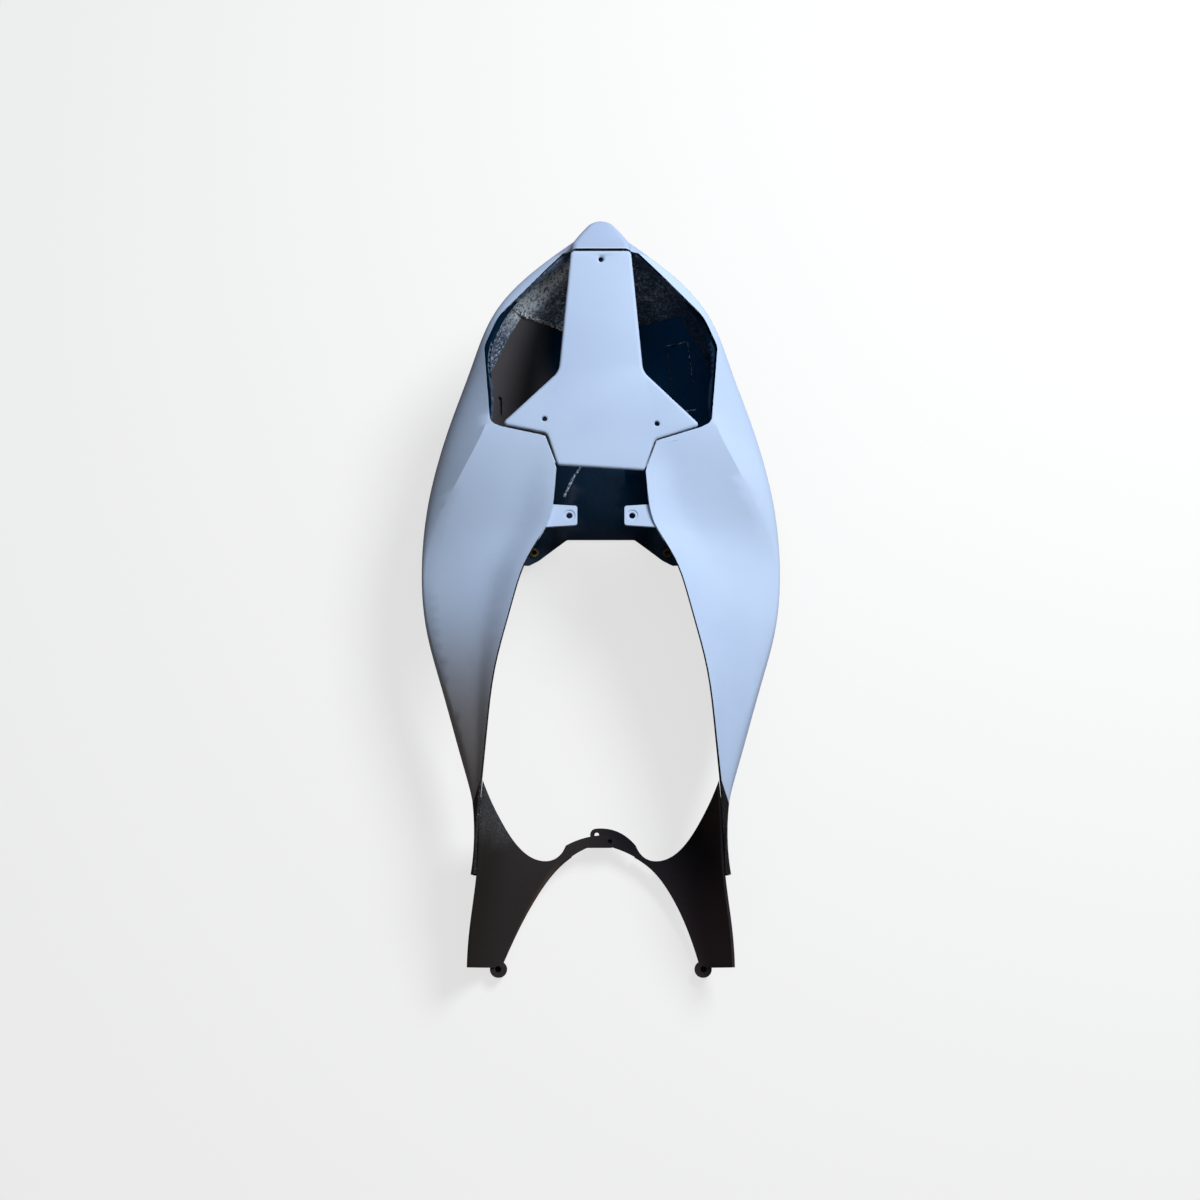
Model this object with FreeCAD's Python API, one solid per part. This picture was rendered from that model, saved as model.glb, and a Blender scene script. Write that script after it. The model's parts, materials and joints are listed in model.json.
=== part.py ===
import FreeCAD, Part
import math
import os

from FreeCAD import Vector

# Fibreglass race tail for a motorcycle, in millimetres. X is to the right, Y to the rear, Z up.
# The floor is Z = 0: the tail stands on its undertray and on the feet of its two front legs.

# Laminate walls and the clearances between mouldings
shell_wall = 2.5
plate_wall = 3.0
tray_wall = 2.2
leg_wall = 2.6
bond_gap = 0.3
leg_bond = 1.6
seam_gap = 1.6
bay_run_in = 12.0
bay_depth = 20.5

# Deck: the sloping plane of the plate's top, which the flanks, the tip and the legs follow
deck_front_z = 148.5
deck_rear_z = 178.5

# Rails of the right flank's outer skin, rear to front, as (x, y, height against the deck)
inner_edge = (
    (5, 346, -9.5), (24, 322, -6), (33, 280, -3), (38, 225, -0.5), (40, 172, 0), (41, 140, 0),
    (43, 110, -0.5), (45.5, 81, -2.5), (49.5, 60, -4.5), (65.5, 36, -7), (83.6, -12, -12.5),
    (100.7, -76, -22.5), (109, -142, -35), (115.2, -199, -46.5), (119, -268, -62.5))
crease = (
    (14, 346, -14.5), (33, 330, -14), (76, 296, -17.5), (106, 255, -17.5), (112, 217, -11.5),
    (107, 166, -2.5), (121, 134, -4), (149, 86, -23), (168, 40, -45.5), (170, -10, -51.5),
    (151, -85, -53), (127, -165, -54.5), (120.5, -205, -60), (123, -268, -70.5))
bulge = (
    (20.5, 349, -25.5), (41, 335, -25.5), (70, 314, -28), (94, 291, -30), (111.5, 264, -31.5),
    (122.5, 238, -35), (139.5, 191, -36), (155.5, 144, -38.5), (168.5, 97, -44.5), (174.6, 9, -61),
    (168.5, -38, -65), (156, -82, -68), (129, -172, -69.5), (119, -207, -72), (123, -268, -77))
hem = (
    (16, 346, -41.5), (72, 300, -57), (110, 240, -68.5), (138, 180, -76), (159, 100, -82.5), (166, 30, -93.5),
    (161, -30, -98.5), (148, -90, -100.5), (131, -145, -98.5), (116.5, -200, -91.5), (119, -268, -82.5))
shell_front = -266.0
station_pitch = 18.0
lip_width = 7.0
bolster_depth = 8.0
bolster_profile = (0, 0, 1, 0.5, 0.2, 0, 0)

# Tail tip
tip_front = 327.0
tip_half_width = 31.0
tip_side_run = 6.6
tip_corner_round = 8.0
tip_nose_angle = 72.8
tip_round = 19.0
tip_drop = 7.0
tip_crown_dip = 0.8
tip_depth = 32.5
tip_bottom = deck_rear_z - tip_depth
tip_draft = 5.0
tip_fillet = 7.0

# Seat plate, seen from above, the plane of its top and the ledges that carry it
plate_rear = tip_front - seam_gap
plate_front = 113.5
plate_rear_half = 29.2
plate_rear_round = 4.5
plate_neck_half = 40.6
plate_neck_y = 207.0
plate_neck_round = 18.0
plate_wing_half = 96.0
plate_wing_y = 155.0
plate_wing_round = 3.0
plate_shoulder_half = 52.0
plate_shoulder_y = 143.6
plate_shoulder_round = 7.0
plate_front_half = 41.6
plate_front_round = 3.0
plate_edge_round = 2.4
plate_skirt = 11.0
screw_hole = 5.0
screw_sink = 8.0
screw_sink_depth = 1.2
screw_room = 12.0
rear_screw_y = 316.5
front_screw_x = 54.0
front_screw_y = 158.0
ledge_wall = 2.5
ledge_width = 20.0
ledge_overlap = 7.0
ledge_start = 4.0
ledge_end_x = 72.0
joggle_start = 1.75
tongue_half = 21.0
tongue_root = 9.0

# The hand-trimmed front of the bay runs forward on the right, and the plate is turned a little more
bay_skew = 2.4
plate_turn = 0.8

# Hatches beside the plate
hatch_corner_half = 106.5
hatch_corner_y = 158.0
hatch_corner_round = 9.0
hatch_side_half = 114.0
hatch_side_y = 238.0
hatch_side_round = 15.0
hatch_shoulder_half = 101.0
hatch_shoulder_y = 267.5
hatch_shoulder_round = 40.0
hatch_end_half = 37.0
hatch_end_run = 2.5

# Seat tabs
tab_hole = 6.0
tab_hole_x = 30.0
tab_y = 67.5
tab_reach = 7.5
tab_depth = 19.0
tab_flare = 2.0
tab_round = 2.5
tab_drop = 7.0
tab_top = deck_front_z - tab_drop
tab_wall = 3.0
tab_dimple = 11.0
tab_dimple_depth = 0.6

# Undertray: floor edge rail, rear to front, how it meets the flank, and the line of its front edge
tray_rise = 28.0
tray_floor = (
    (9, 346, tip_bottom), (12, 322, tip_bottom - tray_rise), (13, 292, 76), (14, 262, 36), (17, 230, 12),
    (21, 195, 1.5), (26, 165, 0), (33, 120, 0), (37, 40, 0))
tray_flat = 0.4
tray_overlap = 1.2
tray_top_drop = 5.0
tray_rear = 336.0
tray_front = 84.0
tray_front_half = 35.5
tray_front_round = 5.0
tray_ear_half = 64.0
tray_ear_y = 58.0
tray_ear_round = 8.0
tray_ear_width = 10.0
tray_ear_front = 51.5
tray_side_front = 44.0
slot_x = -102.3
slot_y = 204.7
slot_width = 3.5
slot_length = 16.0
insert_x = 68.5
insert_y = 65.0
insert_flange = 9.5
insert_flange_wall = 1.2
insert_barrel = 7.0
insert_thread = 5.0
insert_length = 8.5
insert_boss = 15.0
insert_boss_height = 6.0
insert_seat_lift = 1.0
insert_clearance = 0.1

# Front legs: rails from the arm's inside down to the strap, rear to front, and the plan of their edges
leg_seat = shell_wall + leg_bond
leg_top = (
    (114.2 - leg_seat, -176, deck_front_z - 43.5), (117.6 - leg_seat, -205, deck_front_z - 50),
    (120.8 - leg_seat, -268, deck_front_z - 65), (122.5, -306, 70), (127, -360, 46))
leg_wall_rail = (
    (111.3 - leg_seat, -176, deck_front_z - 60.5), (114.3 - leg_seat, -205, deck_front_z - 68.5),
    (118.8 - leg_seat, -268, deck_front_z - 82.5), (120.5, -306, 55), (125, -360, 35))
leg_side = (
    (107.8 - leg_seat, -176, deck_front_z - 80.5), (109.8 - leg_seat, -205, deck_front_z - 86.5),
    (114.3 - leg_seat, -268, deck_front_z - 102.5), (115.5, -306, 38), (120, -360, 23))
leg_bend = ((97, -176, 48), (98, -205, 42), (100, -268, 29), (104, -306, 22), (110.5, -360, 13))
leg_foot = ((82, -176, 30), (82, -205, 28), (78, -268, 19), (88, -306, 14), (99, -360, 7))
leg_inner = ((50, -176, 17), (50, -205, 17), (50, -268, 15), (66, -306, 11), (84, -360, 6))
leg_centre = ((-30, -176, 15), (-30, -205, 15), (-30, -268, 14), (-10, -306, 11), (40, -360, 6))
leg_valley = ((112, -176), (106, -194), (96.5, -213), (81.5, -235), (66, -247), (54, -249.5), (34.5, -234.5))
leg_arch = ((13.5, -236.5), (31, -245), (47.5, -258), (65, -281), (83, -315.5), (97, -351))
leg_flange_wall = 2.6
leg_flange_depth = 8.0
strap_round = 6.0
strap_bend_x = 12.0
strap_bend = 1.5
strap_hole = 4.5
strap_hole_inset = 6.5
strap_root_lift = 0.3
left_strap_end = -15.5
left_strap_rear = -224.5
left_strap_lift = 5.2
left_arch_shift = -4.0
right_strap_end = -10.5
right_strap_rear = -217.5
right_strap_lift = 0.0
right_arch_shift = 3.5
lug_out = 2.5
lug_ahead = 1.4
lug_x = leg_arch[-1][0] + lug_out
lug_y = leg_arch[-1][1] - lug_ahead
lug_radius = 8.0
lug_height = 13.0
lug_hole = 6.0

# Room that the cutting blocks take beyond the part
beyond = 40.0
prism_bottom = -beyond
prism_top = deck_rear_z + 2 * beyond


def rail(points):
    """Smooth curve through the points, run by its own length along the tail."""
    curve = Part.BSplineCurve()
    curve.interpolate(Points=[Vector(p) for p in points], Parameters=[-p[1] for p in points])
    return curve


def rail_point(curve, y):
    return curve.value(-y)


def deck_rail(points):
    """Rail whose points are measured from the deck, or from its front height ahead of the plate."""
    return rail([(x, y, deck_height(max(y, plate_front)) + height) for x, y, height in points])


def spread(count):
    """Shares of a run at which the control points of an evenly drawn cubic stand."""
    spans = count - 3
    knots = [min(max(i, 0), spans) for i in range(-2, count)]
    return [sum(knots[i:i + 3]) / (3 * spans) for i in range(count)]


def stations(rear, front):
    """Stations from the rear to the front, about one pitch apart."""
    count = max(4, round((rear - front) / station_pitch))
    return [rear + (front - rear) * share for share in spread(count + 1)]


def net_surface(net):
    """Cubic surface drawn by a net of control points, rows along the tail."""

    def knots(count):
        spans = count - 3
        return list(range(spans + 1)), [4] + [1] * (spans - 1) + [4]

    row_knots, row_mults = knots(len(net))
    column_knots, column_mults = knots(len(net[0]))
    surface = Part.BSplineSurface()
    surface.buildFromPolesMultsKnots(
        net, row_mults, column_mults, row_knots, column_knots, False, False, 3, 3)
    return surface


def moved_in(net, depth):
    """The net moved inwards along its own normals."""
    rows = len(net)
    columns = len(net[0])
    result = []
    for i in range(rows):
        row = []
        for j in range(columns):
            along = net[min(i + 1, rows - 1)][j] - net[max(i - 1, 0)][j]
            across = net[i][min(j + 1, columns - 1)] - net[i][max(j - 1, 0)]
            normal = across.cross(along)
            normal.normalize()
            row.append(net[i][j] + normal * depth)
        result.append(row)
    return result


def skin(outer_net, inner_net, folds=()):
    """Closed sheet between two nets, folded along some of their columns, with a ruled border."""
    last = len(outer_net[0]) - 1
    stops = [0, *folds, last]
    faces = []
    for start, stop in zip(stops, stops[1:]):
        pair = [net_surface([row[start:stop + 1] for row in net]) for net in (outer_net, inner_net)]
        u0, u1, v0, v1 = pair[0].bounds()
        borders = [[s.uIso(u0) for s in pair], [s.uIso(u1) for s in pair]]
        if start == 0:
            borders.append([s.vIso(v0) for s in pair])
        if stop == last:
            borders.append([s.vIso(v1) for s in pair])
        faces += [s.toShape() for s in pair]
        faces += [Part.makeRuledSurface(a.toShape(), b.toShape()) for a, b in borders]
    shell = Part.Shell(faces)
    shell.sewShape()
    solid = Part.Solid(shell)
    if solid.Volume < 0:
        solid.reverse()
    return solid


def mirrored(shape):
    return shape.mirror(Vector(0, 0, 0), Vector(1, 0, 0))


def rounded_wire(corners, z):
    """Closed outline of straight runs, each corner (x, y, radius) turned by a tangent arc."""
    points = [Vector(c[0], c[1], z) for c in corners]
    radii = [c[2] if len(c) > 2 else 0 for c in corners]
    count = len(points)
    starts = []
    ends = []
    arcs = []
    for i in range(count):
        corner = points[i]
        back = (points[i - 1] - corner).normalize()
        ahead = (points[(i + 1) % count] - corner).normalize()
        if radii[i] == 0:
            starts.append(corner)
            ends.append(corner)
            arcs.append(None)
            continue
        half = back.getAngle(ahead) / 2
        reach = radii[i] / math.tan(half)
        bisector = (back + ahead).normalize()
        middle = corner + bisector * (radii[i] / math.sin(half) - radii[i])
        starts.append(corner + back * reach)
        ends.append(corner + ahead * reach)
        arcs.append(middle)
    edges = []
    for i in range(count):
        if arcs[i] is not None:
            edges.append(Part.Arc(starts[i], arcs[i], ends[i]).toShape())
        following = starts[(i + 1) % count]
        if ends[i].distanceToPoint(following) > 1e-6:
            edges.append(Part.LineSegment(ends[i], following).toShape())
    return Part.Wire(edges)


def spline_edge(points, z):
    curve = Part.BSplineCurve()
    curve.interpolate([Vector(x, y, z) for x, y in points])
    return curve.toShape()


def offset_path(path, distance):
    """A plan path moved to the left of its travel, with mitred corners."""
    points = [Vector(x, y, 0) for x, y in path]
    normals = []
    for a, b in zip(points, points[1:]):
        along = (b - a).normalize()
        normals.append(Vector(-along.y, along.x, 0))
    result = []
    for i, point in enumerate(points):
        before = normals[max(i - 1, 0)]
        after = normals[min(i, len(normals) - 1)]
        mitre = (before + after) * (1 / (1 + before.dot(after)))
        moved = point + mitre * distance
        result.append((moved.x, moved.y))
    return result


def prism(wire):
    """Upright block that stands on a plan outline."""
    return Part.Face(wire).extrude(Vector(0, 0, prism_top - prism_bottom))


def both_sides(corners):
    """A right-hand outline, front to rear, closed by its own mirror image."""
    left = [(-c[0],) + tuple(c[1:]) for c in reversed(corners)]
    return list(corners) + left


def skewed(corners, amount):
    """Corners round the bay, those of its front moved forward on the right and back on the left."""
    result = []
    for x, y, *radius in corners:
        side = abs(x)
        reach = min(side, plate_shoulder_half) / plate_shoulder_half
        room = hatch_corner_half - plate_shoulder_half
        fade = max(0.0, hatch_corner_half - max(side, plate_shoulder_half)) / room
        ahead = amount * reach * fade if y < plate_neck_y else 0.0
        result.append((x, y - math.copysign(ahead, x), *radius))
    return result


def upright_hole(x, y, diameter):
    return Part.makeCylinder(diameter / 2, prism_top - prism_bottom, Vector(x, y, prism_bottom))


def ground():
    """Block below the floor that the tail stands on."""
    reach = inner_edge[0][1] + beyond
    return Part.makeBox(2 * reach, 2 * reach, beyond, Vector(-reach, -reach, -beyond))


def deck_height(y):
    """Height of the deck's plane at one station."""
    return deck_front_z + (deck_rear_z - deck_front_z) * (y - plate_front) / (plate_rear - plate_front)


def deck_slab(top_gap, bottom_gap):
    """Slab under the deck's plane, between two depths below it."""
    reach = hatch_side_half
    ends = (plate_front - bay_run_in, tip_front + beyond)
    lines = [(y, deck_height(y) - gap) for y, gap in (
        (ends[0], top_gap), (ends[1], top_gap), (ends[1], bottom_gap), (ends[0], bottom_gap))]
    side = Part.makePolygon([Vector(-reach, y, z) for y, z in lines + lines[:1]])
    return Part.Face(side).extrude(Vector(2 * reach, 0, 0))


def bulged(top, widest, foot):
    """The control points between top and foot of a wall that passes through its widest point."""
    peak = widest * 1.5 - (top + foot) * 0.25
    return [top + (peak - top) * (1 / 3), peak, peak + (foot - peak) * (2 / 3)]


def flank_net(lines):
    """Control net of a flank's skin, from the inner edge over the crease and the widest line to the hem."""
    net = []
    for edge, fold, widest, foot in lines:
        rise = min(1.0, max(0.0, (plate_shoulder_y - edge.y) / (plate_shoulder_y - tab_y)))
        fade = min(1.0, max(0.0, (edge.y - shell_front) / (tab_y - shell_front)))
        row = []
        for share, depth in zip(spread(len(bolster_profile)), bolster_profile):
            sunk = Vector(0, 0, bolster_depth * depth * rise * fade)
            row.append(edge + (fold - edge) * share - sunk)
        net.append(row + bulged(fold, widest, foot) + [foot])
    return net


def flank(wall):
    """The right flank's sheet, folded along its crease."""
    rails = [deck_rail(r) for r in (inner_edge, crease, bulge, hem)]
    lines = [[rail_point(r, y) for r in rails] for y in stations(inner_edge[0][1], shell_front)]
    return skin(flank_net(lines), flank_net(moved_in(lines, wall)), [len(bolster_profile) - 1])


def inner_cut():
    """Block that clears the hatches, the plate's bay and the seam round it."""
    slant = (plate_shoulder_half - plate_front_half) / (plate_shoulder_y - plate_front)
    corners = both_sides([
        (plate_front_half + seam_gap - bay_run_in * slant, plate_front - bay_run_in),
        (plate_shoulder_half + seam_gap, plate_shoulder_y - seam_gap, plate_shoulder_round + seam_gap),
        (plate_wing_half, plate_wing_y - seam_gap),
        (hatch_corner_half, hatch_corner_y, hatch_corner_round),
        (hatch_side_half, hatch_side_y, hatch_side_round),
        (hatch_shoulder_half, hatch_shoulder_y, hatch_shoulder_round),
        (hatch_end_half, tip_front + hatch_end_run)])
    return prism(rounded_wire(skewed(corners, bay_skew), deck_front_z - bay_depth))


def tip_block(inset):
    """The tail tip less an inset: short straight sides, rounded nose, drafted walls, falling crown."""
    slope = math.radians(tip_nose_angle / 2)
    apex_y = tip_front + tip_side_run + tip_half_width / math.tan(slope)
    crown_z = deck_height(tip_front) - inset
    front = tip_front - bond_gap if inset else tip_front

    def level(z, depth):
        half = tip_half_width - depth
        apex = apex_y - depth / math.sin(slope)
        shoulder = apex - half / math.tan(slope)
        return rounded_wire([
            (-half, front), (half, front), (half, shoulder, tip_corner_round),
            (0, apex, tip_round - depth), (-half, shoulder, tip_corner_round)], z)

    walls = [level(tip_bottom - abs(inset), inset + tip_draft), level(crown_z + tip_drop, inset)]
    block = Part.makeLoft(walls, True, True)
    nose_y = apex_y - tip_round / math.sin(slope) + tip_round
    start = Vector(-beyond, front, crown_z)
    middle = Vector(-beyond, (front + nose_y) / 2, crown_z - tip_crown_dip)
    end = Vector(-beyond, nose_y, crown_z - tip_drop)
    floor_z = tip_bottom - beyond
    sides = Part.makePolygon([
        end, Vector(-beyond, nose_y, floor_z), Vector(-beyond, front, floor_z), start])
    under = Part.Face(Part.Wire([Part.Arc(start, middle, end).toShape()] + sides.Edges))
    block = block.common(under.extrude(Vector(2 * beyond, 0, 0)))
    crown = max(block.Faces, key=lambda f: f.CenterOfMass.z)
    rims = [e for e in crown.Edges if e.BoundBox.YMax > front + bond_gap]
    return block.makeFillet(tip_fillet, rims)


def ledge_plan(side, inside, outside):
    """Plan of a band along one front edge of the bay, its widths given from the plate's edge."""
    slant = (plate_wing_y - plate_shoulder_y) / (plate_wing_half - plate_shoulder_half)
    path = [
        (plate_front_half, plate_front + ledge_start), (plate_shoulder_half, plate_shoulder_y),
        (ledge_end_x, plate_shoulder_y + slant * (ledge_end_x - plate_shoulder_half))]
    loop = offset_path(path, inside) + list(reversed(offset_path(path, -outside)))
    turned = skewed([(side * x, y) for x, y in loop], bay_skew)
    return prism(rounded_wire(turned, prism_bottom))


def tongue_plan(front):
    """Plan of the tongue under the plate's rear end, back to its root in the tip."""
    rear = tip_front + tongue_root
    corners = [(tongue_half, front), (tongue_half, rear)]
    return prism(rounded_wire(both_sides(corners), prism_bottom))


def ledges():
    """Joggled ledges that carry the plate: one on each side of the front, one from the tip."""
    under = plate_wall + bond_gap
    shelf = deck_slab(under, under + ledge_wall)
    joggle = deck_slab(joggle_start, under + ledge_wall / 2)
    pads = []
    for side in (1, -1):
        pads.append(shelf.common(ledge_plan(side, ledge_width, ledge_overlap)))
        pads.append(joggle.common(ledge_plan(side, -seam_gap - bond_gap, ledge_overlap)))
    pads.append(shelf.common(tongue_plan(rear_screw_y - screw_room)))
    pads.append(joggle.common(tongue_plan(tip_front + bond_gap)))
    return pads


def seat_tab(side):
    """Flat ear on the panel's inner edge that takes one of the seat's front screws."""
    root = rail_point(deck_rail(inner_edge), tab_y).x + lip_width
    tip = tab_hole_x - tab_reach
    corners = [
        (side * tip, tab_y - tab_depth / 2, tab_round), (side * tip, tab_y + tab_depth / 2, tab_round),
        (side * root, tab_y + tab_depth / 2 + tab_flare), (side * root, tab_y - tab_depth / 2 - tab_flare)]
    wire = rounded_wire(corners, tab_top - tab_wall)
    tab = Part.Face(wire).extrude(Vector(0, 0, tab_wall))
    dimple = Part.makeCylinder(
        tab_dimple / 2, tab_dimple_depth, Vector(side * tab_hole_x, tab_y, tab_top - tab_dimple_depth))
    return tab.cut(dimple)


def plate_screw_holes(diameter):
    spots = [(0, rear_screw_y), (-front_screw_x, front_screw_y), (front_screw_x, front_screw_y)]
    return [upright_hole(x, y, diameter) for x, y in skewed(spots, bay_skew)]


def tail_shell():
    """The white outer moulding: both flanks, the tip, the ledges under the plate and the seat tabs."""
    right = flank(shell_wall)
    body = right.fuse(mirrored(right)).cut(inner_cut())
    body = body.fuse(tip_block(0)).cut(tip_block(shell_wall))
    body = body.fuse(ledges() + [seat_tab(1), seat_tab(-1)])
    holes = plate_screw_holes(screw_hole + 2 * bond_gap)
    holes += [upright_hole(side * tab_hole_x, tab_y, tab_hole) for side in (1, -1)]
    return body.cut(holes).removeSplitter()


def plate_outline():
    """Plan of the seat plate, a long neck that widens into two wings."""
    corners = both_sides([
        (plate_front_half, plate_front, plate_front_round),
        (plate_shoulder_half, plate_shoulder_y, plate_shoulder_round),
        (plate_wing_half, plate_wing_y, plate_wing_round),
        (plate_neck_half, plate_neck_y, plate_neck_round),
        (plate_rear_half, plate_rear, plate_rear_round)])
    return rounded_wire(skewed(corners, bay_skew + plate_turn), prism_bottom)


def plate_hollow():
    """Room under the plate: clear at the wings and over the tongue, inside the skirts of the neck."""
    skirt_rear = rear_screw_y - screw_room
    corners = both_sides([
        (2 * plate_wing_half, plate_front - bay_run_in), (2 * plate_wing_half, plate_neck_y),
        (plate_neck_half - plate_wall, plate_neck_y), (plate_rear_half - plate_wall, skirt_rear),
        (2 * plate_rear_half, skirt_rear), (2 * plate_rear_half, plate_rear + bay_run_in)])
    room = prism(rounded_wire(corners, prism_bottom))
    return room.common(deck_slab(plate_wall, plate_skirt + plate_wall))


def rear_sink():
    """Countersink of the plate's rear screw hole, run on above the deck."""
    low = Vector(0, rear_screw_y, deck_height(rear_screw_y) - screw_sink_depth)
    return Part.makeCone(screw_hole / 2, screw_sink - screw_hole / 2, 2 * screw_sink_depth, low)


def seat_plate():
    """The T-shaped cover: a thin deck with its neck's edges turned down."""
    block = deck_slab(0, plate_skirt).common(prism(plate_outline()))
    crown = max(block.Faces, key=lambda f: f.CenterOfMass.z)
    plate = block.makeFillet(plate_edge_round, crown.Edges)
    return plate.cut([plate_hollow(), rear_sink()] + plate_screw_holes(screw_hole))


def tray_net(lines):
    """Control net of the tub's skin, from the right wall's top round to the left one's."""
    net = []
    for top, widest, foot, floor, keel in lines:
        wall = [top] + bulged(top, widest, foot)
        slope = [foot + (floor - foot) * share for share in spread(4)]
        half = wall + slope + [floor + (keel - floor) * (2 / 3)]
        net.append(half + [Vector(-p.x, p.y, p.z) for p in reversed(half)])
    return net


def tray_skin(depth):
    """The tub's sheet, folded at the hems and along both edges of its floor."""
    crease_rail, bulge_rail, hem_rail = [deck_rail(r) for r in (crease, bulge, hem)]
    floor_rail = rail(tray_floor)
    inward = Vector(-shell_wall / 2, 0, 0)
    lines = []
    for y in stations(tray_floor[0][1], tray_floor[-1][1]):
        top = rail_point(crease_rail, y) + inward - Vector(0, 0, tray_top_drop)
        widest = rail_point(bulge_rail, y) + inward
        foot = rail_point(hem_rail, y) + inward
        floor = rail_point(floor_rail, y)
        floor.z = max(0.0, floor.z) - tray_flat
        lines.append([top, widest, foot, floor, Vector(0, y, floor.z)])
    net = tray_net(lines)
    hem_column = 4
    floor_column = 7
    last = len(net[0]) - 1
    folds = [hem_column, floor_column, last - floor_column, last - hem_column]
    return skin(net, tray_net(moved_in(lines, depth)), folds)


def tray_trim():
    """Plan of the tray: a straight front edge, an ear on each side of it and a square rear end."""
    wide = 2 * tray_ear_half + tray_ear_width + beyond
    corners = [
        (tray_front_half, tray_front, tray_front_round), (tray_ear_half, tray_ear_y, tray_ear_round),
        (tray_ear_half + tray_ear_width, tray_ear_front, tray_ear_round / 2),
        (wide, tray_side_front), (wide, tray_rear)]
    return prism(rounded_wire(both_sides(corners), prism_bottom))


def wall_slot():
    """The short slot through the tub's left wall, below the hatch."""
    x0 = slot_x - slot_width / 2
    x1 = slot_x + slot_width / 2
    y0 = slot_y - slot_length / 2
    y1 = slot_y + slot_length / 2
    return prism(rounded_wire([(x0, y0), (x1, y0), (x1, y1), (x0, y1)], prism_bottom))


def insert_seat(side):
    """Centre of the flat seat for one insert, on the sloping wall of the tray's ear."""
    low = Vector(side * insert_x, insert_y, prism_bottom)
    wall = Part.makeLine(low, low + Vector(0, 0, prism_top)).section(tray_skin(tray_wall))
    seat = min((v.Point for v in wall.Vertexes), key=lambda p: p.z)
    return seat + Vector(0, 0, tray_wall + insert_seat_lift)


def undertray():
    """The black tub that closes the tail from below and lines its flanks."""
    tub = tray_skin(tray_wall + tray_overlap).common(tray_trim())
    cover = flank(shell_wall + bond_gap)
    tub = tub.cut([cover, mirrored(cover), tip_block(-bond_gap), ground(), wall_slot()])
    tub = max(tub.Solids, key=lambda s: s.Volume)
    for side in (1, -1):
        seat = insert_seat(side)
        boss = Part.makeCylinder(insert_boss / 2, insert_boss_height, seat - Vector(0, 0, insert_boss_height))
        pocket = Part.makeCylinder(insert_boss / 2, beyond, seat)
        hole = upright_hole(seat.x, seat.y, insert_barrel + 2 * insert_clearance)
        tub = tub.fuse(boss).cut([pocket, hole])
    return tub.removeSplitter()


def undertray_inserts():
    """Brass threaded inserts in the undertray's front ears."""
    pieces = []
    for side in (1, -1):
        base = insert_seat(side) + Vector(0, 0, insert_clearance)
        flange = Part.makeCylinder(insert_flange / 2, insert_flange_wall, base)
        barrel = Part.makeCylinder(insert_barrel / 2, insert_length, base - Vector(0, 0, insert_length))
        bore = upright_hole(base.x, base.y, insert_thread)
        pieces.append(flange.fuse(barrel).cut(bore).removeSplitter())
    return Part.makeCompound(pieces)


def leg_net(lift):
    """Control net of a right leg's outside, from its top edge down and in to the strap."""
    rails = [rail(r) for r in (leg_top, leg_wall_rail, leg_side, leg_bend, leg_foot, leg_inner, leg_centre)]
    net = []
    for y in stations(leg_top[0][1], leg_top[-1][1]):
        row = [rail_point(r, y) for r in rails]
        row[-1].z += lift
        row[-2].z += strap_root_lift * lift
        net.append(row)
    return net


def leg_plan(strap_end, strap_rear, arch):
    """Plan of a right leg: the valley, the strap's rounded end, the arch and the front edge."""
    z = prism_bottom
    outside = leg_top[-1][0] + beyond
    rear = leg_top[0][1] + bond_gap
    valley = spline_edge(leg_valley, z)
    strap = [leg_valley[-1], (strap_bend_x, strap_rear - strap_bend), (strap_end + strap_round, strap_rear)]
    tip_low = (strap_end + strap_round, strap_rear - 2 * strap_round)
    tip = Part.Arc(
        Vector(*strap[-1], z), Vector(strap_end, strap_rear - strap_round, z), Vector(*tip_low, z)).toShape()
    low = Part.LineSegment(Vector(*tip_low, z), Vector(*arch[0], z)).toShape()
    front = [
        arch[-1], (outside, arch[-1][1]), (outside, rear), (leg_valley[0][0], rear), leg_valley[0]]
    straight = [Part.LineSegment(Vector(*a, z), Vector(*b, z)).toShape() for a, b in zip(front, front[1:])]
    return Part.Wire([valley, spline_edge(strap, z), tip, low, spline_edge(arch, z)] + straight)


def arch_flange(net, arch):
    """Band below the sheet along the arch, run past the arch so that one cut trims both."""
    z = prism_bottom
    lowered = [[p - Vector(0, 0, leg_flange_depth) for p in row] for row in net]
    inner = offset_path(arch[1:], leg_flange_wall)
    outer = list(reversed(offset_path(arch[1:], -leg_flange_wall)))
    band = Part.Wire([
        spline_edge(inner, z), Part.makeLine(Vector(*inner[-1], z), Vector(*outer[0], z)),
        spline_edge(outer, z), Part.makeLine(Vector(*outer[-1], z), Vector(*inner[0], z))])
    return skin(lowered, moved_in(net, leg_wall / 2)).common(prism(band))


def leg(strap_end, strap_rear, strap_lift, arch_shift):
    """A right-hand front leg: cradle wall, strap, turned-down arch flange and foot lug."""
    net = leg_net(strap_lift)
    last = len(leg_arch) - 1
    arch = [(x + arch_shift * math.sin(math.pi * i / last), y) for i, (x, y) in enumerate(leg_arch)]
    sheet = skin(net, moved_in(net, leg_wall)).fuse(arch_flange(net, arch))
    lug = Part.makeCylinder(lug_radius, lug_height, Vector(lug_x, lug_y, 0))
    body = sheet.common(prism(leg_plan(strap_end, strap_rear, arch))).fuse(lug)
    holes = [
        upright_hole(lug_x, lug_y, lug_hole),
        upright_hole(strap_end + strap_hole_inset, strap_rear - strap_round, strap_hole)]
    return body.cut(holes + [ground()]).removeSplitter()


def left_leg():
    return mirrored(leg(left_strap_end, left_strap_rear, left_strap_lift, left_arch_shift))


def right_leg():
    return leg(right_strap_end, right_strap_rear, right_strap_lift, right_arch_shift)


def export(node, shape):
    shape.exportStep("parts/%s.step" % node)


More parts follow.
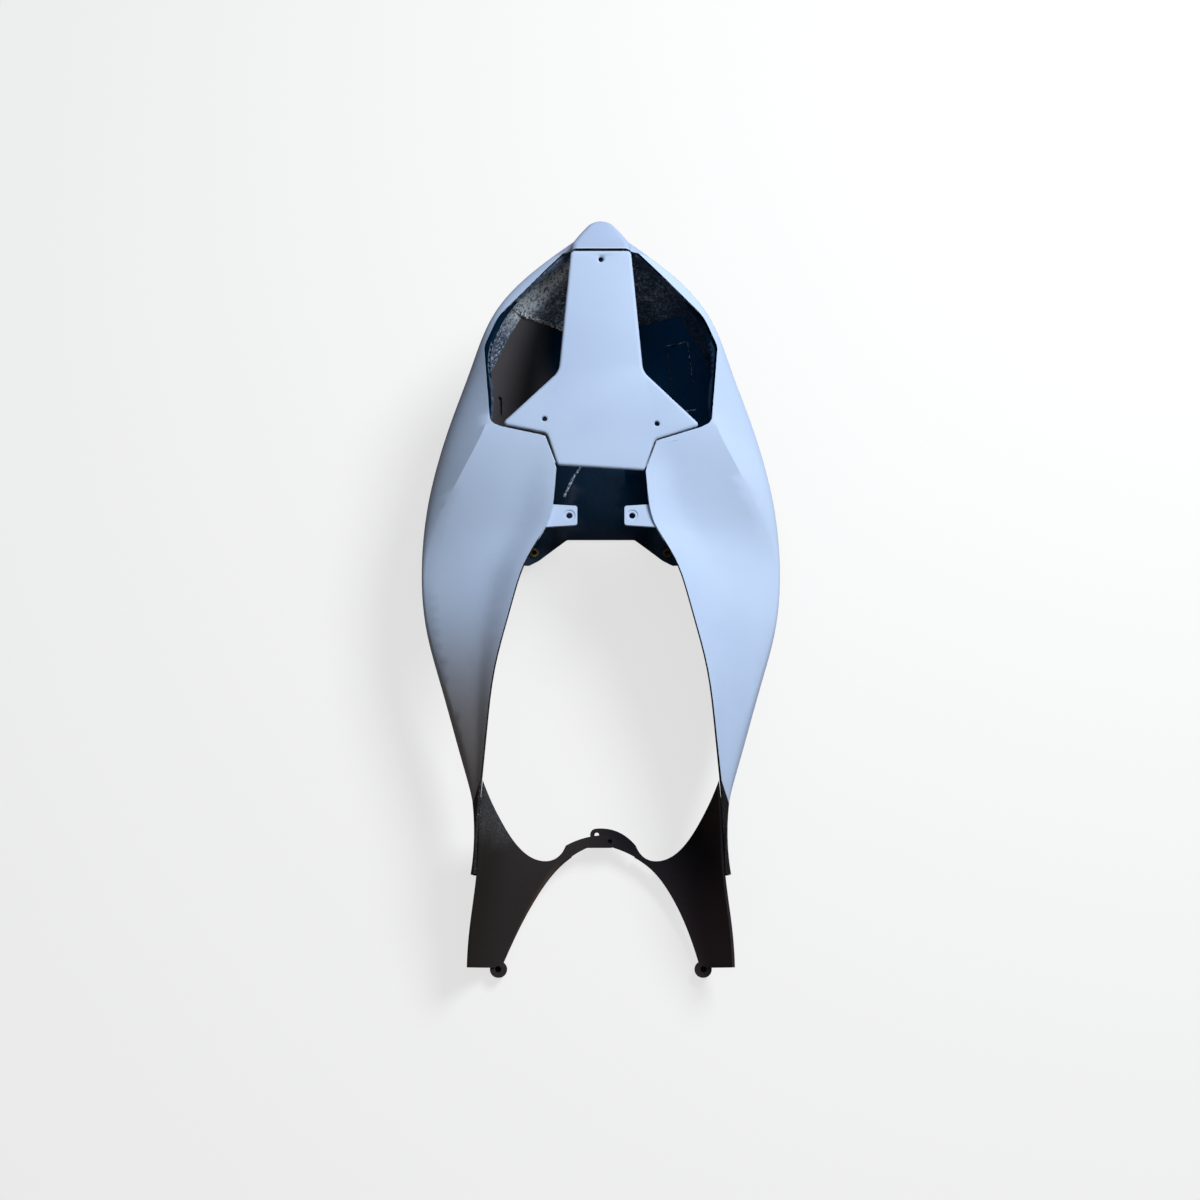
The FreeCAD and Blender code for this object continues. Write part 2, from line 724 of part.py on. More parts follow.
def main():
    os.makedirs("parts", exist_ok=True)
    export("tail_shell", tail_shell())
    export("seat_plate", seat_plate())
    export("undertray", undertray())
    export("undertray_inserts", undertray_inserts())
    export("left_leg", left_leg())
    export("right_leg", right_leg())


if __name__ == "__main__":
    main()
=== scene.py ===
import json
import logging
import math
import random
from dataclasses import dataclass, field
from enum import Enum
from typing import Optional, Sequence, Union

import bmesh
import bpy
from bpy.types import Material, NodeSocket, Object
from mathutils import Matrix, Vector
from mathutils.bvhtree import BVHTree

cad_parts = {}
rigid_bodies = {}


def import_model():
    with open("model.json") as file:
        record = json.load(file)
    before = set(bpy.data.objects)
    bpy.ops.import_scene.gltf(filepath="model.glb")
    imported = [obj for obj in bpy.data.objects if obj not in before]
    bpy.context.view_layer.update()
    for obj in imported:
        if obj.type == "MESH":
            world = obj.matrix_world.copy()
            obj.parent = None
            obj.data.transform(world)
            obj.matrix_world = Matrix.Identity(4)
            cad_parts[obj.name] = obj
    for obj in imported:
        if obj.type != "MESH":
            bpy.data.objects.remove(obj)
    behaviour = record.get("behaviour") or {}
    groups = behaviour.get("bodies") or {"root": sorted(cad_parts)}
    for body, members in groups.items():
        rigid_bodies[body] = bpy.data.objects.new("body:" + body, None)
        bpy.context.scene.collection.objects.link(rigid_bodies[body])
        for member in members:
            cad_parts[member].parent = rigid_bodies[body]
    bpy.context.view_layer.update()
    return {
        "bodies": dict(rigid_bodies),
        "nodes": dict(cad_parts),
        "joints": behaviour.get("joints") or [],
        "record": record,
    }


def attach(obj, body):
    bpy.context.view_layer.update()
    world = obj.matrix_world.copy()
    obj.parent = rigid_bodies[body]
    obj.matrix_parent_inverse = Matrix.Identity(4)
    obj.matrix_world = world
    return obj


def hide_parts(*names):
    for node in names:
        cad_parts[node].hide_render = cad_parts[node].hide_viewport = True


LOG = logging.getLogger("tail_fairing")
BODY = "root"
MERGE_DISTANCE = 1e-5
SHARP_EDGE = math.radians(32)

Colour = tuple[float, float, float]
Spot = tuple[float, float]
Span = tuple[float, float]

INSERT_BORES: tuple[Spot, ...] = ((-0.0685, 0.065), (0.0685, 0.065))
INSERT_BORE_RADIUS = 0.0026
LUG_BORES: dict[str, Spot] = {"left_leg": (-0.0995, -0.3524), "right_leg": (0.0995, -0.3524)}
LUG_BORE_RADIUS = 0.0031


class ShellFinish(Enum):
    """Material places of the tail shell's mesh."""

    GELCOAT = 0
    LAMINATE = 1


class TubFinish(Enum):
    """Material places of the undertray's mesh."""

    RESIN = 0
    MAT = 1
    FRAY = 2


class Value:
    """A shader socket that takes part in Python arithmetic."""

    def __init__(self, graph: "Graph", socket: NodeSocket) -> None:
        """Keeps the socket and the graph that it belongs to."""
        self.graph = graph
        self.socket = socket

    def _math(self, operation: str, first: "Operand", second: "Operand") -> "Value":
        """Adds one Math node."""
        return self.graph.node("ShaderNodeMath", {"operation": operation}, {0: first, 1: second})

    def __add__(self, other: "Operand") -> "Value":
        """Sum."""
        return self._math("ADD", self, other)

    def __radd__(self, other: "Operand") -> "Value":
        """Sum with a plain number first."""
        return self._math("ADD", other, self)

    def __sub__(self, other: "Operand") -> "Value":
        """Difference."""
        return self._math("SUBTRACT", self, other)

    def __rsub__(self, other: "Operand") -> "Value":
        """Difference from a plain number."""
        return self._math("SUBTRACT", other, self)

    def __mul__(self, other: "Operand") -> "Value":
        """Product."""
        return self._math("MULTIPLY", self, other)

    def __rmul__(self, other: "Operand") -> "Value":
        """Product with a plain number first."""
        return self._math("MULTIPLY", other, self)

    def larger(self, other: "Operand") -> "Value":
        """The larger of two values."""
        return self._math("MAXIMUM", self, other)

    def size(self) -> "Value":
        """The value without its sign."""
        return self._math("ABSOLUTE", self, 0.0)

    def ramp(self, low: float, high: float) -> "Value":
        """Smooth step from 0 at low to 1 at high.

        Args:
            low: value that becomes 0.
            high: value that becomes 1.

        Returns:
            The smoothed value.
        """
        return self.graph.node(
            "ShaderNodeMapRange", {"interpolation_type": "SMOOTHSTEP"},
            {"Value": self, "From Min": low, "From Max": high})


Operand = Union[Value, float]


class Graph:
    """Node tree of one procedural material, read in Object coordinates."""

    def __init__(self, name: str) -> None:
        """Starts an empty material.

        Args:
            name: the material's name.
        """
        self.material: Material = bpy.data.materials.new(name)
        self.material.use_nodes = True
        self.tree = self.material.node_tree
        self.tree.nodes.clear()
        self.place = self.node("ShaderNodeTexCoord", {}, {}, "Object")

    def node(self, kind: str, settings: dict, inputs: dict, output: Union[int, str] = 0) -> Value:
        """Adds a node, sets it and links it.

        Args:
            kind: the node's type.
            settings: properties, set before the sockets.
            inputs: socket names or indices, with a value or a link for each.
            output: which output socket to hand back.

        Returns:
            The chosen output.
        """
        added = self.tree.nodes.new(kind)
        for key, setting in settings.items():
            setattr(added, key, setting)
        for key, given in inputs.items():
            if isinstance(given, Value):
                self.tree.links.new(given.socket, added.inputs[key])
            else:
                added.inputs[key].default_value = given
        return Value(self, added.outputs[output])

    def noise(self, scale: float, detail: float = 3.0, roughness: float = 0.55,
              place: Optional[Value] = None) -> Value:
        """Soft noise between 0 and 1.

        Args:
            scale: cells to a metre.
            detail: octaves.
            roughness: weight of the finer octaves.
            place: coordinates to read, the object's own by default.

        Returns:
            The noise value.
        """
        return self.node("ShaderNodeTexNoise", {}, {
            "Vector": place or self.place, "Scale": scale, "Detail": detail, "Roughness": roughness})

    def turned(self, angle: Sequence[float], stretch: Sequence[float]) -> Value:
        """Object coordinates, turned and stretched.

        Args:
            angle: turn about X, Y and Z, in radians.
            stretch: scale along X, Y and Z.

        Returns:
            The new coordinates.
        """
        spun = self.node("ShaderNodeMapping", {}, {"Vector": self.place, "Rotation": tuple(angle)})
        return self.node("ShaderNodeMapping", {}, {"Vector": spun, "Scale": tuple(stretch)})

    def mixed(self, share: Operand, first: Union[Value, Colour], second: Union[Value, Colour]) -> Value:
        """Mix of two colours.

        Args:
            share: how much of the second one.
            first: colour at 0.
            second: colour at 1.

        Returns:
            The mixed colour.
        """
        pair = [c if isinstance(c, Value) else (*c, 1.0) for c in (first, second)]
        return self.node("ShaderNodeMix", {"data_type": "RGBA"}, {0: share, 6: pair[0], 7: pair[1]}, 2)

    def bump(self, height: Value, strength: float, distance: float,
             normal: Optional[Value] = None) -> Value:
        """Surface relief.

        Args:
            height: relief between 0 and 1.
            strength: how much of it shows.
            distance: depth of the relief in metres.
            normal: an earlier relief that this one adds to.

        Returns:
            The normal.
        """
        inputs = {"Height": height, "Strength": strength, "Distance": distance}
        if normal is not None:
            inputs["Normal"] = normal
        return self.node("ShaderNodeBump", {}, inputs)

    def axes(self, vector: Value) -> tuple[Value, Value, Value]:
        """Takes a place or a direction apart.

        Args:
            vector: the place or direction.

        Returns:
            Its X, Y and Z.
        """
        first = self.node("ShaderNodeSeparateXYZ", {}, {"Vector": vector}, "X")
        outputs = first.socket.node.outputs
        return first, Value(self, outputs["Y"]), Value(self, outputs["Z"])

    def finish(self, **sockets: Union[Value, float, Colour]) -> Material:
        """Closes the material with one principled surface.

        Args:
            sockets: the surface's sockets, with underscores for spaces.

        Returns:
            The material.
        """
        inputs = {}
        for key, given in sockets.items():
            inputs[key.replace("_", " ")] = (*given, 1.0) if isinstance(given, tuple) else given
        surface = self.node("ShaderNodeBsdfPrincipled", {}, inputs)
        self.node_output(surface)
        return self.material

    def node_output(self, surface: Value) -> None:
        """Links a surface to the material's output."""
        end = self.tree.nodes.new("ShaderNodeOutputMaterial")
        self.tree.links.new(surface.socket, end.inputs["Surface"])


@dataclass(frozen=True)
class Gelcoat:
    """Satin pale gelcoat with the slight waviness of a hand-laid moulding, with painted shade on the front
    of the left arm and on the tip.
    """

    name: str = "white_gelcoat"
    pale: Colour = (0.535, 0.685, 0.94)
    deep: Colour = (0.49, 0.635, 0.90)
    dust: Colour = (0.40, 0.43, 0.48)
    # Painted shade: warm dark grey that the front of the left arm is mixed towards.
    left_arm_shade: Colour = (0.20, 0.165, 0.135)
    # Painted shade: deeper tone of the tip.
    tip_shade: Colour = (0.36, 0.47, 0.70)
    bare_right: Colour = (0.006, 0.006, 0.008)
    # Painted sheen: the bare laminate of the left arm's end is lighter where light catches its strands; on
    # the right it stays black.
    bare_left_sheen: Colour = (0.050, 0.054, 0.062)
    bare_slope: float = 2.5
    bare_limit: float = 0.102
    bare_fade: Span = (0.0012, -0.0012)
    bare_upward: Span = (0.05, 0.2)
    bare_inward: Span = (0.0, -0.02)
    tip_shade_along: Span = (0.3275, 0.3295)
    tip_shade_share: float = 0.7
    arm_shade_across: Span = (-0.05, -0.11)
    arm_shade_along: Span = (0.035, -0.125)
    arm_shade_wander: float = 0.04
    arm_shade_share: float = 0.84
    sheen_side: Span = (0.01, -0.01)
    roughness: float = 0.50
    specular: float = 0.2
    edge_round: float = 0.0007

    def bare_share(self, graph: Graph) -> Value:
        """Share of bare laminate: the upper side of both arm ends, beyond a slanting line.

        Args:
            graph: the material's node tree.

        Returns:
            The share, 1 where no gelcoat is left.
        """
        x, y, _ = graph.axes(graph.place)
        across, _, upward = graph.axes(graph.node("ShaderNodeTexCoord", {}, {}, "Normal"))
        line = y + self.bare_slope * x.size() - self.bare_limit
        sides = upward.ramp(*self.bare_upward).larger((x * across).ramp(*self.bare_inward))
        return line.ramp(*self.bare_fade) * sides

    def material(self) -> Material:
        """Builds the material.

        Returns:
            The finished material.
        """
        graph = Graph(self.name)
        clouds = graph.noise(7.0, 3.0, 0.5)
        specks = graph.noise(420.0, 2.0, 0.6).ramp(0.66, 0.78)
        haze = graph.noise(26.0, 5.0, 0.65).ramp(0.50, 0.82)
        tone = graph.mixed(clouds.ramp(0.35, 0.70), self.pale, self.deep)
        tone = graph.mixed(0.06 * haze + 0.05 * specks, tone, self.dust)
        x, y, _ = graph.axes(graph.place)
        # Painted shade: the tip is mixed towards a deeper tone.
        tone = graph.mixed(self.tip_shade_share * y.ramp(*self.tip_shade_along), tone, self.tip_shade)
        # Painted shade: the front of the left arm is darkened towards a warm grey.
        arm_shade = x.ramp(*self.arm_shade_across) * (y + self.arm_shade_wander * clouds).ramp(*self.arm_shade_along)
        tone = graph.mixed(self.arm_shade_share * arm_shade, tone, self.left_arm_shade)
        # Painted sheen: strand specks on the left side only. The strand texture is the laminate's own,
        # their lightness is painted sheen.
        fibre_sheen = x.ramp(*self.sheen_side) * graph.noise(650.0, 3.0, 0.7).ramp(0.36, 0.66)
        bare = self.bare_share(graph)
        tone = graph.mixed(bare, tone, graph.mixed(fibre_sheen, self.bare_right, self.bare_left_sheen))
        soft = graph.node("ShaderNodeBevel", {"samples": 4}, {"Radius": self.edge_round})
        waves = graph.bump(graph.noise(16.0, 1.0, 0.4), 0.10, 0.004, soft)
        peel = graph.bump(graph.noise(520.0, 2.0, 0.5), 0.05, 0.0004, waves)
        gloss = self.roughness + 0.10 * haze + 0.05 * clouds + 0.12 * bare
        return graph.finish(
            Base_Color=tone, Roughness=gloss, Normal=peel, Specular_IOR_Level=self.specular)


@dataclass(frozen=True)
class GlassMat:
    """Rough chopped glass mat under a thin skin of black resin, with painted bluish shade on the right and
    under the rim and a painted highlight on the lit left wall.
    """

    name: str = "glass_mat"
    low: Colour = (0.046, 0.068, 0.116)
    high: Colour = (0.64, 0.78, 0.98)
    # Painted shade: bluish black of the mat in shade.
    mat_shade: Colour = (0.004, 0.030, 0.082)
    # Painted highlight: pale glare of the lit left wall.
    glare: Colour = (0.80, 0.90, 1.0)
    glare_fold: Span = (0.348, 0.368)
    glare_across: Span = (0.0, -0.02)
    glare_along: Span = (0.262, 0.292)
    mat_shade_across: Span = (0.0, 0.03)
    mat_shade_along: Span = (0.322, 0.282)
    # Painted shadow under the rim: heights over which the mat is darkened.
    rim_shadow_height: Span = (0.138, 0.150)
    rim_shadow_share: float = 0.9
    strand_length: float = 0.009
    strand_width: float = 0.0011
    strand_turns: tuple[float, ...] = (0.35, 1.40, 2.45)
    relief: float = 0.0011
    specular: float = 0.6

    @classmethod
    def lining(cls) -> "GlassMat":
        """The same mat under thick black resin, as on the inside of the shell."""
        dark = (0.040, 0.046, 0.056)
        return cls("shell_lining", (0.008, 0.010, 0.014), dark, (0.006, 0.007, 0.009), dark)

    def strands(self, graph: Graph) -> Value:
        """Crossed glass strands as relief between 0 and 1.

        Args:
            graph: the material's node tree.

        Returns:
            The relief.
        """
        fine = 1.0 / self.strand_width
        coarse = 1.0 / self.strand_length
        layers = []
        for turn in self.strand_turns:
            place = graph.turned((0.3, 0.2, turn), (coarse, fine, fine))
            layers.append(graph.noise(0.55, 2.0, 0.5, place))
        return layers[0].larger(layers[1]).larger(layers[2])

    def material(self) -> Material:
        """Builds the material.

        Returns:
            The finished material.
        """
        graph = Graph(self.name)
        relief = self.strands(graph)
        pooled = graph.noise(28.0, 3.0, 0.5).ramp(0.42, 0.68)
        grain = graph.noise(1100.0, 2.0, 0.6)
        x, y, z = graph.axes(graph.place)
        # Painted shade: the right side of the mat, towards the front, is darkened to a bluish black.
        mat_shaded = x.ramp(*self.mat_shade_across) * (y + 0.02 * pooled).ramp(*self.mat_shade_along)
        clumps = graph.noise(300.0, 3.0, 0.75).ramp(0.42, 0.62)
        share = relief.ramp(0.50, 0.70) * (1.0 - 0.5 * pooled)
        share = share * (0.12 + 0.88 * clumps) * (1.0 - 0.82 * mat_shaded)
        # Painted highlight: glints on the outer left wall where the light falls.
        outer = (y - x + 0.01 * pooled).ramp(*self.glare_fold)
        glare = outer * x.ramp(*self.glare_across) * y.ramp(*self.glare_along)
        glints = graph.noise(340.0, 3.0, 0.75).ramp(0.41, 0.53)
        tone = graph.mixed(share, graph.mixed(mat_shaded, self.low, self.mat_shade), self.high)
        tone = graph.mixed(glare * (0.08 + 0.92 * glints), tone, self.glare)
        # Painted shadow: the mat is darkened near the top of the wall, under the rim.
        tone = graph.mixed(self.rim_shadow_share * z.ramp(*self.rim_shadow_height), tone, self.mat_shade)
        rough = graph.bump(relief + 0.35 * grain, 0.85, self.relief)
        gloss = 0.28 + 0.20 * graph.noise(60.0, 3.0, 0.6)
        return graph.finish(
            Base_Color=tone, Roughness=gloss, Normal=rough, Specular_IOR_Level=self.specular)


@dataclass(frozen=True)
class Resin:
    """Smooth black resin of the tub, with its light painted in: brownish where the left is lit, painted
    bluish shade on the right, painted shade in the recess, under the rim and in front.
    """

    name: str = "black_laminate"
    # Painted light: brownish tone of the lit left. Painted shade: bluish black of the shaded right.
    brown_light: Colour = (0.090, 0.088, 0.098)
    shade_blue: Colour = (0.005, 0.062, 0.180)
    # Painted shade: near black of the recess under the plate and under the rim.
    recess_shade: Colour = (0.0015, 0.014, 0.036)
    # Painted shade at the front of the tub: darkest between the panels, bluish black on the ears.
    lip_shade: Colour = (0.007, 0.015, 0.030)
    ear_shade: Colour = (0.034, 0.066, 0.122)
    speck: Colour = (0.22, 0.25, 0.30)
    shaded_across: Span = (-0.055, -0.028)
    shaded_along: Span = (0.185, 0.165)
    shade_blue_across: Span = (-0.01, 0.03)
    recess_shade_along: Span = (0.175, 0.150)
    rim_shadow_height: Span = (0.126, 0.136)
    lip_shade_along: Span = (0.105, 0.085)
    ear_shade_across: Span = (0.046, 0.062)
    specks_along: Span = (0.150, 0.175)
    wander: float = 0.03
    specular: float = 0.06

    def material(self) -> Material:
        """Builds the material.

        Returns:
            The finished material.
        """
        graph = Graph(self.name)
        x, y, z = graph.axes(graph.place)
        wander = self.wander * graph.noise(18.0, 3.0, 0.5)
        # Painted light and shade: brownish where lit on the left, darkest in the middle and bluish black
        # on the right and towards the front.
        deep = (x + wander).ramp(*self.shaded_across).larger((y + wander).ramp(*self.shaded_along))
        shaded = graph.mixed(x.ramp(*self.shade_blue_across), self.recess_shade, self.shade_blue)
        tone = graph.mixed(deep, self.brown_light, shaded)
        # Painted shade in the recess under the plate and painted shadow under the rim.
        dark = y.ramp(*self.recess_shade_along).larger(z.ramp(*self.rim_shadow_height))
        tone = graph.mixed(dark, tone, self.recess_shade)
        # Painted shade at the front: darkest between the panels, bluish black on the ears.
        front = graph.mixed(x.size().ramp(*self.ear_shade_across), self.lip_shade, self.ear_shade)
        tone = graph.mixed(y.ramp(*self.lip_shade_along), tone, front)
        thick = graph.noise(42.0, 3.0, 0.6).ramp(0.50, 0.66) * (0.2 + 0.8 * y.ramp(*self.specks_along))
        specks = graph.noise(1500.0, 2.0, 0.6).ramp(0.66, 0.74) * (0.06 + 0.66 * thick)
        tone = graph.mixed(specks, tone, self.speck)
        wave = graph.bump(graph.noise(55.0, 4.0, 0.6), 0.35, 0.0016)
        grain = graph.bump(graph.noise(700.0, 3.0, 0.6), 0.30, 0.0005, wave)
        gloss = 0.34 + 0.20 * graph.noise(50.0, 3.0, 0.6)
        return graph.finish(
            Base_Color=tone, Roughness=gloss, Normal=grain, Specular_IOR_Level=self.specular)


@dataclass(frozen=True)
class FrayedGlass:
    """Pale torn ends of glass strands along the edges of loose mat."""

    name: str = "frayed_glass"
    pale: Colour = (0.86, 0.89, 0.93)
    dark: Colour = (0.05, 0.06, 0.075)

    def material(self) -> Material:
        """Builds the material.

        Returns:
            The finished material.
        """
        graph = Graph(self.name)
        tufts = graph.noise(420.0, 3.0, 0.65)
        tone = graph.mixed(tufts.ramp(0.40, 0.60), self.dark, self.pale)
        return graph.finish(Base_Color=tone, Roughness=0.5, Normal=graph.bump(tufts, 0.7, 0.0008))


@dataclass(frozen=True)
class SatinLaminate:
    """Satin black laminate of the legs, with painted light: a painted sheen of lighter strands on the left
    one's top, a brownish painted reflection along the rolled edges, and painted shade on the right one's
    top.
    """

    name: str = "leg_laminate"
    left: Colour = (0.028, 0.0245, 0.025)
    right: Colour = (0.052, 0.041, 0.052)
    # Painted shade: near black of the right leg's top.
    right_top_shade: Colour = (0.004, 0.004, 0.008)
    # Painted reflection: brownish tone of the floor seen in the rolled arch edges.
    brown_light: Colour = (0.085, 0.062, 0.050)
    # Painted sheen: lighter strand specks on the left leg's top.
    fibre_sheen: Colour = (0.120, 0.135, 0.160)
    arch_top: float = -0.2362
    arch_bend: float = 13.28
    right_side: Span = (-0.03, 0.03)
    right_shade_along: Span = (-0.345, -0.215)
    rolled_sheen_width: Span = (0.013, 0.004)
    rolled_sheen_across: Span = (0.035, 0.055)
    rolled_sheen_along: Span = (-0.352, -0.342)
    rolled_sheen_side: Span = (-0.06, 0.06)
    fibre_sheen_across: Span = (-0.066, -0.088)
    fibre_sheen_along: Span = (-0.235, -0.205)
    fibre_sheen_wander: float = 0.02
    specular: float = 0.16

    def material(self) -> Material:
        """Builds the material.

        Returns:
            The finished material.
        """
        graph = Graph(self.name)
        x, y, _ = graph.axes(graph.place)
        clouds = graph.noise(30.0, 4.0, 0.6)
        strands = graph.noise(1.0, 3.0, 0.6, graph.turned((0.2, 0.5, 0.7), (70.0, 700.0, 500.0)))
        # Painted shade: the right leg darkens towards its top; the two legs' base tones are set apart to
        # suit how each is lit.
        right = graph.mixed(y.ramp(*self.right_shade_along), self.right, self.right_top_shade)
        tone = graph.mixed(x.ramp(*self.right_side), self.left, right)
        # Painted reflection: a brownish band along the rolled arch edge, stronger on the left leg.
        beside = y + self.arch_bend * x * x - self.arch_top
        rolled_sheen = beside.ramp(*self.rolled_sheen_width) * x.size().ramp(*self.rolled_sheen_across)
        rolled_sheen = rolled_sheen * y.ramp(*self.rolled_sheen_along) * (0.75 - 0.45 * x.ramp(*self.rolled_sheen_side))
        tone = graph.mixed(rolled_sheen, tone, self.brown_light)
        # Painted sheen: lighter strand specks on the top of the left leg, where light catches it.
        wander = self.fibre_sheen_wander * clouds
        bare = (x + wander).ramp(*self.fibre_sheen_across) * (y + wander).ramp(*self.fibre_sheen_along)
        tufts = graph.noise(800.0, 3.0, 0.7).ramp(0.40, 0.66)
        tone = graph.mixed(bare * tufts, tone, self.fibre_sheen)
        relief = graph.bump(strands + 0.5 * graph.noise(380.0, 3.0, 0.6), 0.35, 0.0005)
        gloss = 0.50 + 0.22 * clouds
        return graph.finish(
            Base_Color=tone, Roughness=gloss, Normal=relief, Specular_IOR_Level=self.specular)


@dataclass(frozen=True)
class DullBrass:
    """Dull brass of the threaded inserts, with dark stains."""

    name: str = "insert_brass"
    bright: Colour = (0.34, 0.25, 0.12)
    dark: Colour = (0.07, 0.05, 0.03)

    def material(self) -> Material:
        """Builds the material.

        Returns:
            The finished material.
        """
        graph = Graph(self.name)
        stain = graph.noise(260.0, 4.0, 0.6)
        tone = graph.mixed(stain.ramp(0.40, 0.72), self.bright, self.dark)
        relief = graph.bump(graph.noise(1400.0, 2.0, 0.5), 0.15, 0.0002)
        return graph.finish(
            Base_Color=tone, Roughness=0.38 + 0.25 * stain, Metallic=0.9 - 0.4 * stain.ramp(0.55, 0.8),
            Normal=relief)


@dataclass(frozen=True)
class PaleFloor:
    """Plain pale floor that keeps the shadow, almost white to the camera, with a weak warm bounce."""

    name: str = "pale_floor"
    tone: Colour = (0.86, 0.87, 0.88)
    bounce: Colour = (0.28, 0.22, 0.17)
    glow: float = 0.70

    def material(self) -> Material:
        """Builds the material.

        Returns:
            The finished material.
        """
        graph = Graph(self.name)
        matt = graph.node("ShaderNodeBsdfDiffuse", {}, {"Color": (*self.tone, 1.0)})
        white = graph.node("ShaderNodeEmission", {}, {"Color": (1.0, 1.0, 1.0, 1.0), "Strength": 1.0})
        shown = graph.node("ShaderNodeMixShader", {}, {0: self.glow, 1: matt, 2: white})
        warm = graph.node("ShaderNodeBsdfDiffuse", {}, {"Color": (*self.bounce, 1.0)})
        seen = graph.node("ShaderNodeLightPath", {}, {}, "Is Camera Ray")
        graph.node_output(graph.node("ShaderNodeMixShader", {}, {0: seen, 1: warm, 2: shown}))
        return graph.material


def merged_copy(node: Object, name: str) -> bmesh.types.BMesh:
    """Mesh of a CAD node with its loose triangles joined, smooth except at its real edges.

    Args:
        node: the CAD node's object.
        name: used in the log only.

    Returns:
        The joined mesh, still open for editing.
    """
    mesh = bmesh.new()
    mesh.from_mesh(node.data)
    before = len(mesh.verts)
    bmesh.ops.remove_doubles(mesh, verts=mesh.verts, dist=MERGE_DISTANCE)
    bmesh.ops.dissolve_degenerate(mesh, dist=MERGE_DISTANCE, edges=mesh.edges)
    for face in mesh.faces:
        face.smooth = True
        face.material_index = 0
    for edge in mesh.edges:
        edge.smooth = len(edge.link_faces) == 2 and edge.calc_face_angle(0.0) < SHARP_EDGE
    LOG.info("%s: %d corners joined to %d, %d faces", name, before, len(mesh.verts), len(mesh.faces))
    return mesh


def placed(mesh: bmesh.types.BMesh, name: str, materials: Sequence[Material], slot: str,
           node: Optional[str] = None) -> Object:
    """Makes a finished piece of a mesh and lets it ride.

    Args:
        mesh: the mesh, which is freed.
        name: the piece's name.
        materials: its materials, in the order of the faces' indices.
        slot: the record's material slot; not used.
        node: the CAD node that it stands for, if any.

    Returns:
        The piece.
    """
    data = bpy.data.meshes.new(name)
    mesh.to_mesh(data)
    mesh.free()
    if "custom_normal" in data.attributes:
        data.attributes.remove(data.attributes["custom_normal"])
    piece = bpy.data.objects.new(name, data)
    bpy.context.scene.collection.objects.link(piece)
    for material in materials:
        data.materials.append(material)
    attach(piece, BODY)
    if node is not None:
        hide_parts(node)
    LOG.info("%s placed with %d faces", name, len(data.polygons))
    return piece


@dataclass
class TailShell:
    """The outer moulding: gelcoat outside, bare laminate inside, with painted shade on the walls of the
    seam round the seat plate.
    """

    frame: dict
    wall: float = 0.0025
    wall_slack: float = 1.5
    core_height: float = 0.070
    core_rear: float = 0.250
    bare_rim_rear: float = 0.045
    cover_reach: float = 0.022
    seam_shade_reach: float = 0.004
    node: str = "tail_shell"

    def is_lining(self, face: bmesh.types.BMFace, tree: BVHTree) -> bool:
        """Tells the inner skin and the trimmed edge of the arms from the outer skin.

        Args:
            face: a face of the shell.
            tree: search tree of the shell's faces.

        Returns:
            True where the face looks inwards and has one wall behind it, or lies ahead of the tabs.
        """
        centre = face.calc_center_median()
        outward = centre - Vector((0.0, min(centre.y, self.core_rear), self.core_height))
        if face.normal.dot(outward) >= 0.0:
            return False
        start = centre - face.normal * MERGE_DISTANCE
        hit = tree.ray_cast(start, -face.normal, self.wall * self.wall_slack)
        return hit[0] is not None or centre.y < self.bare_rim_rear

    def is_ledge_or_seam_shade(self, face: bmesh.types.BMFace, plate: BVHTree) -> bool:
        """Tells the ledges under the seat plate, which are bare laminate, and the walls of the seam round
        it, which are painted dark as shade in the gap.

        Args:
            face: a face of the shell.
            plate: search tree of the seat plate.

        Returns:
            True where the plate lies close above the face or in front of it.
        """
        start = face.calc_center_median() + face.normal * MERGE_DISTANCE
        above = plate.ray_cast(start, Vector((0.0, 0.0, 1.0)), self.cover_reach)
        ahead = plate.ray_cast(start, face.normal, self.seam_shade_reach)
        return above[0] is not None or ahead[0] is not None

    def build(self, gelcoat: Material, laminate: Material) -> Object:
        """Builds and dresses the shell.

        Args:
            gelcoat: finish of the outside and of the edges.
            laminate: finish of the inside.

        Returns:
            The shell's piece.
        """
        mesh = merged_copy(self.frame["nodes"][self.node], self.node)
        tree = BVHTree.FromBMesh(mesh)
        cover = merged_copy(self.frame["nodes"]["seat_plate"], "seat_plate")
        plate = BVHTree.FromBMesh(cover)
        cover.free()
        for face in mesh.faces:
            # Laminate inside and on the ledges; painted shade on the walls of the seam.
            dark = self.is_lining(face, tree) or self.is_ledge_or_seam_shade(face, plate)
            face.material_index = (ShellFinish.LAMINATE if dark else ShellFinish.GELCOAT).value
        return placed(mesh, "shell_moulding", [gelcoat, laminate], "white_gelcoat", self.node)


@dataclass
class PlainPiece:
    """A CAD node that only gets a joined mesh and its finish."""

    frame: dict
    node: str
    name: str
    slot: str

    def build(self, material: Material) -> Object:
        """Builds and dresses the piece.

        Args:
            material: its finish.

        Returns:
            The piece.
        """
        mesh = merged_copy(self.frame["nodes"][self.node], self.node)
        return placed(mesh, self.name, [material], self.slot, self.node)


